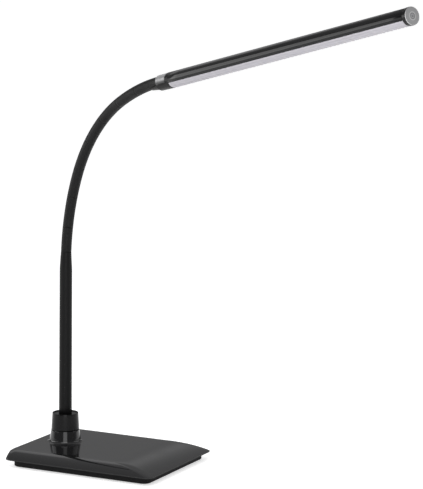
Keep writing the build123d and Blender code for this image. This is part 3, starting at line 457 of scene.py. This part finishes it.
# ---------------------------------------------------------------- power inlet
# Black moulded barrel socket behind the stem, with its brass centre pin, and the two insulated
# leads that run from it under the stem and up to the cable.
inlet_plastic = lamp_finish("inlet_plastic", (0.014, 0.014, 0.014), 0.30, smudge=0.08, bump=0.08)
contact_brass = lamp_finish("contact_brass", (0.72, 0.52, 0.22), 0.24, metallic=1.0, smudge=0.12, bump=0.04)
lead_plastic = lamp_finish("lead_plastic", (0.020, 0.020, 0.021), 0.40, smudge=0.08, bump=0.06)
dress_node("dc_jack", inlet_plastic)
dress_node("jack_pin", contact_brass)
for name in ("jack_leads", "board_links", "head_leads"):
    dress_node(name, lead_plastic)


# ---------------------------------------------------------------- collar
# Black cup, turned and dropped over the bell's spigot: its side leans in a little to a thin rim,
# with a shallow dish inside the rim round the stem.
collar_foot = [(0.01124, 0.0313), (0.01445, 0.0313), (0.01466, 0.03133), (0.01479, 0.03146)]
collar_side = [(0.01484, 0.03167), (0.01479, 0.0325), (0.01465, 0.0350), (0.01438, 0.0400), (0.01409, 0.0450),
               (0.01389, 0.0476), (0.01377, 0.0489)]
collar_rim = [(0.01373, 0.04912), (0.01362, 0.04925), (0.01344, 0.0493), (0.01290, 0.0493), (0.01276, 0.04925),
              (0.01268, 0.04912), (0.01265, 0.0489)]
collar_dish = [(0.01262, 0.0485), (0.01250, 0.04830), (0.01214, 0.04818), (0.0090, 0.0481), (0.00735, 0.0480),
               (0.00702, 0.04790), (0.00698, 0.0476)]
collar_bore = [(0.00698, 0.0457), (0.01124, 0.0457)]
collar_profile = collar_foot + collar_side + collar_rim + collar_dish + collar_bore
collar = turned("collar_cup_body", collar_profile, (stem_x, 0.0), 144)
close_round(collar, collar_profile, (stem_x, 0.0))
close_piece(collar, 30.0)
collar_black = lamp_finish("collar_black", (0.0040, 0.0040, 0.0042), 0.15, smudge=0.06, specks=0.08,
                           bump=0.03, specular=0.14)
dress(collar, collar_black)
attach(collar, "base")
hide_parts("collar_cup")


# ---------------------------------------------------------------- stem skin
# Smooth soft-touch black sleeve over the steel stem, a little thicker at the foot, which narrows
# above the stem's end into the sleeve of the neck.
arch_turn, bend_start = radians(-25.7), 0.2082
neck_bends = [(0.2398, radians(23.74)), (0.1717, radians(38.29)), (0.2588, radians(15.07))]
arch_frame = Matrix.Translation((stem_x, 0, 0)) @ Matrix.Rotation(arch_turn, 4, "Z")


def neck_at(distance):
    """Reach, height and lean of the neck's line, at a distance along it from the stem's end."""
    reach, height, lean = 0.0, bend_start, 0.0
    if distance < 0:
        return reach, height + distance, lean
    for bend_radius, turn in neck_bends:
        step = min(distance, bend_radius * turn)
        end_lean = lean + step / bend_radius
        reach += bend_radius * (cos(lean) - cos(end_lean))
        height += bend_radius * (sin(end_lean) - sin(lean))
        lean = end_lean
        distance -= step
    return reach + distance * sin(lean), height + distance * cos(lean), lean


def neck_sleeve(name, rings, around=64):
    """A length of sleeve drawn ring by ring up the neck, from rings of (distance, radius)."""
    bpy.ops.object.select_all(action="DESELECT")
    distance, radius = rings[0]
    reach, height, lean = neck_at(distance)
    bpy.ops.mesh.primitive_circle_add(vertices=around, radius=radius, location=(reach, 0, height),
                                      rotation=(0, lean, 0))
    piece = open_piece(name)
    bpy.ops.mesh.select_mode(type="EDGE")
    bpy.ops.mesh.select_all(action="SELECT")
    for next_distance, next_radius in rings[1:]:
        next_reach, next_height, next_lean = neck_at(next_distance)
        bpy.ops.mesh.extrude_region_move(
            TRANSFORM_OT_translate={"value": (next_reach - reach, 0, next_height - height)})
        centre = (next_reach, 0, next_height)
        if abs(next_lean - lean) > 1e-9:
            bpy.ops.transform.rotate(value=lean - next_lean, orient_axis="Y", center_override=centre)
        share = next_radius / radius
        bpy.ops.transform.resize(value=(share, share, share), center_override=centre)
        reach, height, lean, radius = next_reach, next_height, next_lean, next_radius
    return piece


def thicken(piece, wall):
    """Give an open shell its wall, inwards, with closed ends."""
    shell = piece.modifiers.new("wall", "SOLIDIFY")
    shell.thickness = wall
    shell.offset = -1.0
    shell.use_even_offset = True
    bpy.context.view_layer.objects.active = piece
    bpy.ops.object.modifier_apply(modifier=shell.name)


def mark_along(piece):
    """Store each point's distance along the neck, which the sleeve's ribs follow."""
    along = piece.data.attributes.new("along", "FLOAT", "POINT")
    out_of_arch = arch_frame.inverted()
    for point, value in zip(piece.data.vertices, along.data):
        p = out_of_arch @ point.co
        distance, lean_before, start, reach, height = p.z - bend_start, 0.0, 0.0, 0.0, bend_start
        for bend_radius, turn in neck_bends:
            centre_reach = reach + bend_radius * cos(lean_before)
            centre_height = height - bend_radius * sin(lean_before)
            lean = atan2(p.z - centre_height, centre_reach - p.x)
            if lean < lean_before - 1e-6:
                break
            distance = start + (min(lean, lean_before + turn) - lean_before) * bend_radius
            reach = centre_reach - bend_radius * cos(lean_before + turn)
            height = centre_height + bend_radius * sin(lean_before + turn)
            start, lean_before = start + bend_radius * turn, lean_before + turn
        if distance >= start - 1e-6:
            distance = start + (p.x - reach) * sin(lean_before) + (p.z - height) * cos(lean_before)
        value.value = distance


neck_radius, sleeve_start, skin_wall = 0.0055, 0.0140, 0.0004
skin_rings = [(-0.1695, 0.00685), (-0.1500, 0.00681), (-0.1000, 0.00672), (-0.0500, 0.00663),
              (-0.0200, 0.00657), (-0.0070, 0.00655), (-0.0050, 0.006546), (-0.0030, 0.00650),
              (0.0, 0.00629), (0.0030, 0.00613), (0.0060, 0.00596), (0.0090, 0.00579), (0.0115, 0.00563),
              (0.0130, 0.00554), (sleeve_start, neck_radius)]
stem_skin = neck_sleeve("stem_skin_sleeve", skin_rings, 96)
close_piece(stem_skin, 40.0, arch_frame)
thicken(stem_skin, skin_wall)
skin_rubber = lamp_finish("soft_touch_black", (0.0045, 0.0045, 0.0047), 0.40, grain_scale=3200.0, smudge=0.08,
                          specks=0.12, bump=0.10, specular=0.12)
dress(stem_skin, skin_rubber)
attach(stem_skin, "base")
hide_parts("stem_skin")


# ---------------------------------------------------------------- neck
# Wound steel core with the cable inside it, in a rubber sleeve with fine rings round it. The
# sleeve is drawn in eight lengths that meet end to end.
sleeve_wall, sleeve_overlap, ring_spacing, rib_pitch = 0.00095, 0.009, 0.0014, 0.0016
first_joint, joint_step, neck_length = 0.0240, 0.0341677, 0.2821737
joint_places = [first_joint + number * joint_step for number in range(8)]
sleeve_end = neck_length + sleeve_overlap
halfway = [(a + b) / 2 for a, b in zip(joint_places[:-1], joint_places[1:])]
cuts = [sleeve_start] + halfway + [sleeve_end]

ribbed_rubber = lamp_finish("ribbed_neck_rubber", (0.0070, 0.0070, 0.0072), 0.48, grain_scale=2400.0,
                            smudge=0.08, specks=0.15, bump=0.2, specular=0.15)
tree = ribbed_rubber.node_tree
place = tree.nodes.new("ShaderNodeAttribute")
place.attribute_name = "along"
turns = tree.nodes.new("ShaderNodeMath")
turns.operation = "MULTIPLY"
turns.inputs[1].default_value = 2 * pi / rib_pitch
tree.links.new(place.outputs["Fac"], turns.inputs[0])
wave = tree.nodes.new("ShaderNodeMath")
wave.operation = "SINE"
tree.links.new(turns.outputs[0], wave.inputs[0])
rings = tree.nodes.new("ShaderNodeMapRange")
rings.inputs["From Min"].default_value = -1.0
rings.inputs["From Max"].default_value = 0.6
tree.links.new(wave.outputs[0], rings.inputs["Value"])
ribs = tree.nodes.new("ShaderNodeBump")
ribs.inputs["Strength"].default_value = 0.55
ribs.inputs["Distance"].default_value = 0.00016
tree.links.new(rings.outputs["Result"], ribs.inputs["Height"])
tree.links.new(tree.nodes["grain"].outputs["Normal"], ribs.inputs["Normal"])
tree.links.new(ribs.outputs["Normal"], tree.nodes["Principled BSDF"].inputs["Normal"])
# painted shade: the colour is darkened in the grooves between the rings
groove_painted_shade = tree.nodes.new("ShaderNodeMix")
groove_painted_shade.data_type = "RGBA"
groove_painted_shade.blend_type = "MULTIPLY"
groove_painted_shade.inputs["B"].default_value = (0.62, 0.62, 0.62, 1)
groove = tree.nodes.new("ShaderNodeMath")
groove.operation = "SUBTRACT"
groove.inputs[0].default_value = 1.0
tree.links.new(rings.outputs["Result"], groove.inputs[1])
tree.links.new(groove.outputs[0], groove_painted_shade.inputs["Factor"])
tree.links.new(tree.nodes["colour"].outputs["Result"], groove_painted_shade.inputs["A"])
tree.links.new(groove_painted_shade.outputs["Result"], tree.nodes["Principled BSDF"].inputs["Base Color"])

for number in range(1, 9):
    start, end = cuts[number - 1], cuts[number]
    steps = max(10, round((end - start) / ring_spacing))
    length = neck_sleeve(f"neck_sleeve_length_{number}",
                         [(start + (end - start) * step / steps, neck_radius) for step in range(steps + 1)])
    close_piece(length, 40.0, arch_frame)
    thicken(length, sleeve_wall)
    mark_along(length)
    dress(length, ribbed_rubber)
    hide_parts("neck_sleeve_end" if number == 8 else f"neck_sleeve_{number}")
    joint = joint_places[number - 1]
    bent = min(joint - start, end - joint) - 0.0002
    for distance in (joint - bent, joint + bent):
        reach, height, lean = neck_at(distance)
    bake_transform(length)

core_steel = lamp_finish("wound_core_steel", (0.22, 0.22, 0.23), 0.38, metallic=1.0, smudge=0.15, bump=0.2)
cable_jacket = lamp_finish("cable_jacket", (0.016, 0.016, 0.017), 0.42, smudge=0.08, bump=0.08)
for number in ["foot", 1, 2, 3, 4, 5, 6, 7, "end"]:
    dress_node(f"neck_core_{number}", core_steel)
    dress_node("stem_cable" if number == "foot" else f"neck_cable_{number}", cable_jacket)


# ---------------------------------------------------------------- ferrule
# Satin chromed ring, rounded at its back edge, over the end of the neck's sleeve and the collet.
axis_drop, head_tip = 0.0013, 0.3688
end_reach, end_height, end_lean = neck_at(neck_length)
along_head = Vector((sin(end_lean), 0, cos(end_lean)))
up_head = Vector((-cos(end_lean), 0, sin(end_lean)))
side_head = Vector((0, 1, 0))
head_middle = Vector((end_reach, 0, end_height)) - up_head * axis_drop
head_axes = Matrix((side_head, up_head, along_head)).transposed().to_4x4()
head_frame = arch_frame @ Matrix.Translation(head_middle) @ head_axes
head_turn = head_frame.to_euler()

ferrule_profile = [(0.00560, 0.0180), (0.00560, 0.0012), (0.00565, 0.0010), (0.00578, 0.00108),
                   (0.00602, 0.00120), (0.00623, 0.00138), (0.00640, 0.00160), (0.00652, 0.00190),
                   (0.00659, 0.00225), (0.00660, 0.00260), (0.00660, 0.0060), (0.00660, 0.0110),
                   (0.00660, 0.0160), (0.00660, 0.01785), (0.00655, 0.01795), (0.00645, 0.0180)]
ferrule = turned("ferrule_ring", ferrule_profile, (0.0, axis_drop), 96)
close_round(ferrule, ferrule_profile, (0.0, axis_drop))
close_piece(ferrule, 30.0, head_frame)
satin_chrome = lamp_finish("satin_chrome", (0.50, 0.50, 0.508), 0.46, metallic=1.0, grain_scale=3000.0,
                           tone=0.06, smudge=0.10, bump=0.05)


def in_head_frame(tree, scale=(1, 1, 1)):
    """Object coordinates turned to lie along the head: X across, Y up, Z along, from the tip's middle."""
    place = tree.nodes.new("ShaderNodeTexCoord")
    turn = tree.nodes.new("ShaderNodeMapping")
    turn.vector_type = "TEXTURE"
    turn.inputs["Location"].default_value = head_frame @ Vector((0, 0, head_tip))
    turn.inputs["Rotation"].default_value = head_turn
    tree.links.new(place.outputs["Object"], turn.inputs["Vector"])
    stretch = tree.nodes.new("ShaderNodeVectorMath")
    stretch.operation = "MULTIPLY"
    stretch.inputs[1].default_value = scale
    tree.links.new(turn.outputs["Vector"], stretch.inputs[0])
    return stretch.outputs["Vector"]


# painted shade: the chrome's colour is darkened from near its top down over its lower half, towards the saddle
painted_shade_top, painted_shade_bottom, painted_shade_share = 0.0060, 0.0, 0.16
tree = satin_chrome.node_tree
on_ring = tree.nodes.new("ShaderNodeSeparateXYZ")
tree.links.new(in_head_frame(tree), on_ring.inputs[0])
painted_shade_fade = tree.nodes.new("ShaderNodeMapRange")
painted_shade_fade.inputs["From Min"].default_value = painted_shade_top
painted_shade_fade.inputs["From Max"].default_value = painted_shade_bottom
tree.links.new(on_ring.outputs["Y"], painted_shade_fade.inputs["Value"])
# the painted shade multiplies the chrome's colour
painted_shade = tree.nodes.new("ShaderNodeMix")
painted_shade.data_type = "RGBA"
painted_shade.blend_type = "MULTIPLY"
painted_shade.inputs["B"].default_value = (painted_shade_share, painted_shade_share, painted_shade_share, 1)
tree.links.new(painted_shade_fade.outputs["Result"], painted_shade.inputs["Factor"])
tree.links.new(tree.nodes["colour"].outputs["Result"], painted_shade.inputs["A"])
tree.links.new(painted_shade.outputs["Result"], tree.nodes["Principled BSDF"].inputs["Base Color"])
dress(ferrule, satin_chrome)
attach(ferrule, "head")
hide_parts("ferrule")


# ---------------------------------------------------------------- rear plug
# Black moulding that closes the back of the head: a flange, a spigot up the tube, and the
# half-round saddle that cradles the ferrule from below.
plug_black = lamp_finish("plug_black", (0.0045, 0.0045, 0.0047), 0.32, smudge=0.08, specks=0.06, bump=0.06,
                         specular=0.12)
dress_node("rear_plug", plug_black)


# ---------------------------------------------------------------- head tube
# Black glossy extruded tube, open below for the light, with a web across the middle that carries
# the light board. Its ends are sawn square and its long edges are broken.
head_radius, head_wall, head_edge = 0.0081, 0.0011, 0.00012
tube_rear, tube_front, tube_opening = 0.0238, 0.3636, radians(67.0)
web_width, web_thickness, web_drop, web_setback, web_edge = 0.01395, 0.0012, 0.0003, 0.0003, 0.0001
strip_steps = 20


def head_strip(name, around, radius, rear, front, left_out, wall, edge):
    """A round tube drawn along the head less the points left out, with its wall and broken edges."""
    bpy.ops.object.select_all(action="DESELECT")
    bpy.ops.mesh.primitive_circle_add(vertices=around, radius=radius, location=(0, 0, rear))
    strip = open_piece(name)
    pick(strip, left_out)
    bpy.ops.mesh.delete(type="VERT")
    bpy.ops.mesh.select_mode(type="EDGE")
    bpy.ops.mesh.select_all(action="SELECT")
    for step in range(strip_steps):
        bpy.ops.mesh.extrude_region_move(
            TRANSFORM_OT_translate={"value": (0, 0, (front - rear) / strip_steps)})
    close_piece(strip, 40.0)
    thicken(strip, wall)
    edges = strip.modifiers.new("broken_edges", "BEVEL")
    edges.width, edges.segments, edges.limit_method, edges.angle_limit = edge, 2, "ANGLE", radians(50)
    bpy.ops.object.modifier_apply(modifier=edges.name)
    bpy.ops.object.mode_set(mode="EDIT")
    close_piece(strip, 40.0, head_frame)
    return strip


head_tube = head_strip("head_tube_shell", 270, head_radius, tube_rear, tube_front,
                       lambda p: p.y < 0 and abs(atan2(p.x, -p.y)) < tube_opening, head_wall, head_edge)

bpy.ops.object.select_all(action="DESELECT")
bpy.ops.mesh.primitive_plane_add(size=1.0, location=(0, 0, tube_rear + web_setback))
tube_web = open_piece("head_tube_web")
bpy.ops.transform.resize(value=(web_width, web_thickness, 1), center_override=(0, 0, tube_rear))
bpy.ops.transform.translate(value=(0, -web_drop, 0))
bpy.ops.mesh.extrude_region_move(
    TRANSFORM_OT_translate={"value": (0, 0, tube_front - tube_rear - 2 * web_setback)})
bpy.ops.mesh.select_all(action="SELECT")
bpy.ops.mesh.bevel(offset=web_edge, segments=2, affect="EDGES")
close_piece(tube_web, 40.0, head_frame)

head_gloss = lamp_finish("head_gloss_black", (0.0045, 0.0045, 0.0048), 0.11, smudge=0.05, specks=0.08,
                         bump=0.02, specular=0.19)
raw_aluminium = lamp_finish("raw_aluminium", (0.50, 0.50, 0.51), 0.36, metallic=1.0, smudge=0.15, bump=0.06)
dress(head_tube, head_gloss)
dress(tube_web, raw_aluminium)
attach(head_tube, "head")
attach(tube_web, "head")
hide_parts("head_tube")


# ---------------------------------------------------------------- diffuser
# Opal strip that fills the tube's opening flush with its outside, held by its tongues inside the
# edges, with faint draw lines along it from the extruder.
diffuser_radius, diffuser_wall, diffuser_edge = 0.00805, 0.0012, 0.00010
diffuser_half, diffuser_setback = radians(66.6), 0.0001
diffuser = head_strip("diffuser_strip", 360, diffuser_radius, tube_rear + diffuser_setback,
                      tube_front - diffuser_setback,
                      lambda p: p.y > 0 or abs(atan2(p.x, -p.y)) > diffuser_half, diffuser_wall, diffuser_edge)

opal = lamp_finish("opal_diffuser", (0.455, 0.444, 0.474), 0.32, grain_scale=900.0, tone=0.03, smudge=0.08,
                   specks=0.0, bump=0.03, specular=0.15)
tree = opal.node_tree
draw_lines = tree.nodes.new("ShaderNodeTexNoise")
draw_lines.inputs["Scale"].default_value = 900.0
draw_lines.inputs["Detail"].default_value = 2.0
tree.links.new(in_head_frame(tree, (1, 1, 0.006)), draw_lines.inputs["Vector"])
streak = tree.nodes.new("ShaderNodeMix")
streak.data_type = "RGBA"
streak.blend_type = "MULTIPLY"
streak.inputs["B"].default_value = (0.86, 0.86, 0.87, 1)
firm = tree.nodes.new("ShaderNodeMapRange")
firm.inputs["From Min"].default_value = 0.45
firm.inputs["From Max"].default_value = 0.75
tree.links.new(draw_lines.outputs["Fac"], firm.inputs["Value"])
tree.links.new(firm.outputs["Result"], streak.inputs["Factor"])
tree.links.new(tree.nodes["colour"].outputs["Result"], streak.inputs["A"])
tree.links.new(streak.outputs["Result"], tree.nodes["Principled BSDF"].inputs["Base Color"])
dress(diffuser, opal)
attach(diffuser, "head")
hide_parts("diffuser")


# ---------------------------------------------------------------- end ring and touch cap
# Black ring that closes the tube's tip behind a fine groove, and the brushed metal disc on it that
# is the touch switch, marked with a power symbol in a pale ring.
ring_radius, ring_front, cap_radius, cap_centre = 0.00830, 0.3679, 0.00813, 0.0005
ring_profile = [(0.0060, tube_front), (0.00790, tube_front), (0.00790, 0.36418), (0.00796, 0.3642),
                (0.00818, 0.36421), (0.00826, 0.36425), (ring_radius, 0.36434), (ring_radius, 0.36450),
                (ring_radius, 0.3655), (ring_radius, 0.36750), (ring_radius, 0.36765), (0.00828, 0.36776),
                (0.00822, 0.36784), (0.00811, 0.36788), (0.0060, ring_front)]
end_ring = turned("end_ring_body", ring_profile, (0.0, 0.0), 144)
close_round(end_ring, ring_profile)
close_piece(end_ring, 30.0, head_frame)
dress(end_ring, head_gloss)
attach(end_ring, "head")
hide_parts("end_ring")

cap_profile = [(cap_radius, ring_front), (cap_radius, 0.36855), (0.00811, 0.36864), (0.00806, 0.36872),
               (0.00798, 0.36877)]
cap_profile += [(radius, head_tip) for radius in (0.00788, 0.0074, 0.0060, 0.0048, 0.0035, 0.0020, cap_centre)]
touch_cap = turned("touch_cap_disc", cap_profile, (0.0, 0.0), 144)
for height, radius in ((ring_front, cap_radius), (head_tip, cap_centre)):
    pick(touch_cap, lambda p: abs(p.z - height) < 1e-7 and abs(sqrt(p.x**2 + p.y**2) - radius) < 1e-6)
    bpy.ops.mesh.select_mode(type="EDGE")
    bpy.ops.mesh.edge_face_add()
close_piece(touch_cap, 30.0, head_frame)

brushed_cap = lamp_finish("brushed_cap", (0.42, 0.42, 0.425), 0.34, metallic=1.0, grain_scale=3000.0,
                          tone=0.05, smudge=0.10, bump=0.02)
tree = brushed_cap.node_tree
face = tree.nodes.new("ShaderNodeSeparateXYZ")
tree.links.new(in_head_frame(tree), face.inputs[0])


def math_step(tree, operation, first, second):
    """One step of arithmetic between two values, of which either may be a plain number."""
    step = tree.nodes.new("ShaderNodeMath")
    step.operation = operation
    for socket, value in zip(step.inputs, (first, second)):
        if isinstance(value, (int, float)):
            socket.default_value = value
        else:
            tree.links.new(value, socket)
    return step.outputs[0]


across, upward_on_cap = face.outputs["X"], face.outputs["Y"]
squares = math_step(tree, "ADD", math_step(tree, "MULTIPLY", across, across),
                    math_step(tree, "MULTIPLY", upward_on_cap, upward_on_cap))
out = math_step(tree, "SQRT", squares, 0.0)


def band(tree, value, middle, half_width, softness):
    """1 within a half width of a middle value, fading to 0 over a softness."""
    away = math_step(tree, "ABSOLUTE", math_step(tree, "SUBTRACT", value, middle), 0.0)
    fade = tree.nodes.new("ShaderNodeMapRange")
    fade.inputs["From Min"].default_value = half_width + softness
    fade.inputs["From Max"].default_value = half_width
    tree.links.new(away, fade.inputs["Value"])
    return fade.outputs["Result"]


# the print: a pale ring round a darker disc, with a broken ring and a bar in it
sign_radius, sign_half_line, sign_edge = 0.0016, 0.00018, 0.00010
pale_ring = band(tree, out, 0.0034, 0.00040, 0.00025)
gap = math_step(tree, "MULTIPLY", band(tree, across, 0.0, 0.00060, 0.00008),
                math_step(tree, "GREATER_THAN", upward_on_cap, 0.0))
sign_ring = math_step(tree, "MULTIPLY", band(tree, out, sign_radius, sign_half_line, sign_edge),
                      math_step(tree, "SUBTRACT", 1.0, gap))
sign_bar = math_step(tree, "MULTIPLY", band(tree, across, 0.0, sign_half_line, sign_edge),
                     band(tree, upward_on_cap, 0.0014, 0.0008, sign_edge))
sign = math_step(tree, "MAXIMUM", sign_ring, sign_bar)
disc_radius, disc_edge = 0.0029, 0.0003
centre = tree.nodes.new("ShaderNodeMapRange")
centre.inputs["From Min"].default_value = disc_radius + disc_edge
centre.inputs["From Max"].default_value = disc_radius
tree.links.new(out, centre.inputs["Value"])
printed = tree.nodes["colour"].outputs["Result"]
for mask, colour in ((centre.outputs["Result"], (0.27, 0.27, 0.28, 1)),
                     (pale_ring, (0.60, 0.60, 0.60, 1)), (sign, (0.62, 0.62, 0.62, 1))):
    print_step = tree.nodes.new("ShaderNodeMix")
    print_step.data_type = "RGBA"
    print_step.inputs["B"].default_value = colour
    tree.links.new(mask, print_step.inputs["Factor"])
    tree.links.new(printed, print_step.inputs["A"])
    printed = print_step.outputs["Result"]
tree.links.new(printed, tree.nodes["Principled BSDF"].inputs["Base Color"])
# fine rings of the brushing
brush = tree.nodes.new("ShaderNodeTexNoise")
brush.inputs["Scale"].default_value = 5000.0
brush.inputs["Detail"].default_value = 2.0
circles = tree.nodes.new("ShaderNodeCombineXYZ")
tree.links.new(out, circles.inputs["X"])
tree.links.new(circles.outputs[0], brush.inputs["Vector"])
brushed = tree.nodes.new("ShaderNodeBump")
brushed.inputs["Strength"].default_value = 0.10
brushed.inputs["Distance"].default_value = 0.00003
tree.links.new(brush.outputs["Fac"], brushed.inputs["Height"])
tree.links.new(tree.nodes["grain"].outputs["Normal"], brushed.inputs["Normal"])
tree.links.new(brushed.outputs["Normal"], tree.nodes["Principled BSDF"].inputs["Normal"])
dress(touch_cap, brushed_cap)
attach(touch_cap, "head")
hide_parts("touch_cap")


# ---------------------------------------------------------------- light board, dimmer and contact
# White light board under the web with its row of chips, and the dimmer board over it on foam
# tape near the tip, with its parts and the pin that touches the cap. All hidden in the head.
board_white = lamp_finish("white_board", (0.72, 0.72, 0.70), 0.40, tone=0.05, smudge=0.06, bump=0.05)
chip_yellow = lamp_finish("light_chip", (0.78, 0.66, 0.20), 0.34, tone=0.08, smudge=0.06, bump=0.05)
board_green = lamp_finish("dimmer_board_green", (0.020, 0.10, 0.045), 0.34, tone=0.15, smudge=0.06, bump=0.08)
chip_black = lamp_finish("dimmer_chip_black", (0.020, 0.020, 0.021), 0.48, smudge=0.06, bump=0.12)
tape_white = lamp_finish("foam_tape", (0.66, 0.65, 0.62), 0.75, tone=0.08, smudge=0.06, bump=0.35, depth=0.0002)
for name, material in (("light_board", board_white), ("light_chips", chip_yellow),
                       ("dimmer_board", board_green), ("dimmer_chips", chip_black),
                       ("dimmer_tape", tape_white), ("touch_contact", contact_brass)):
    dress_node(name, material)
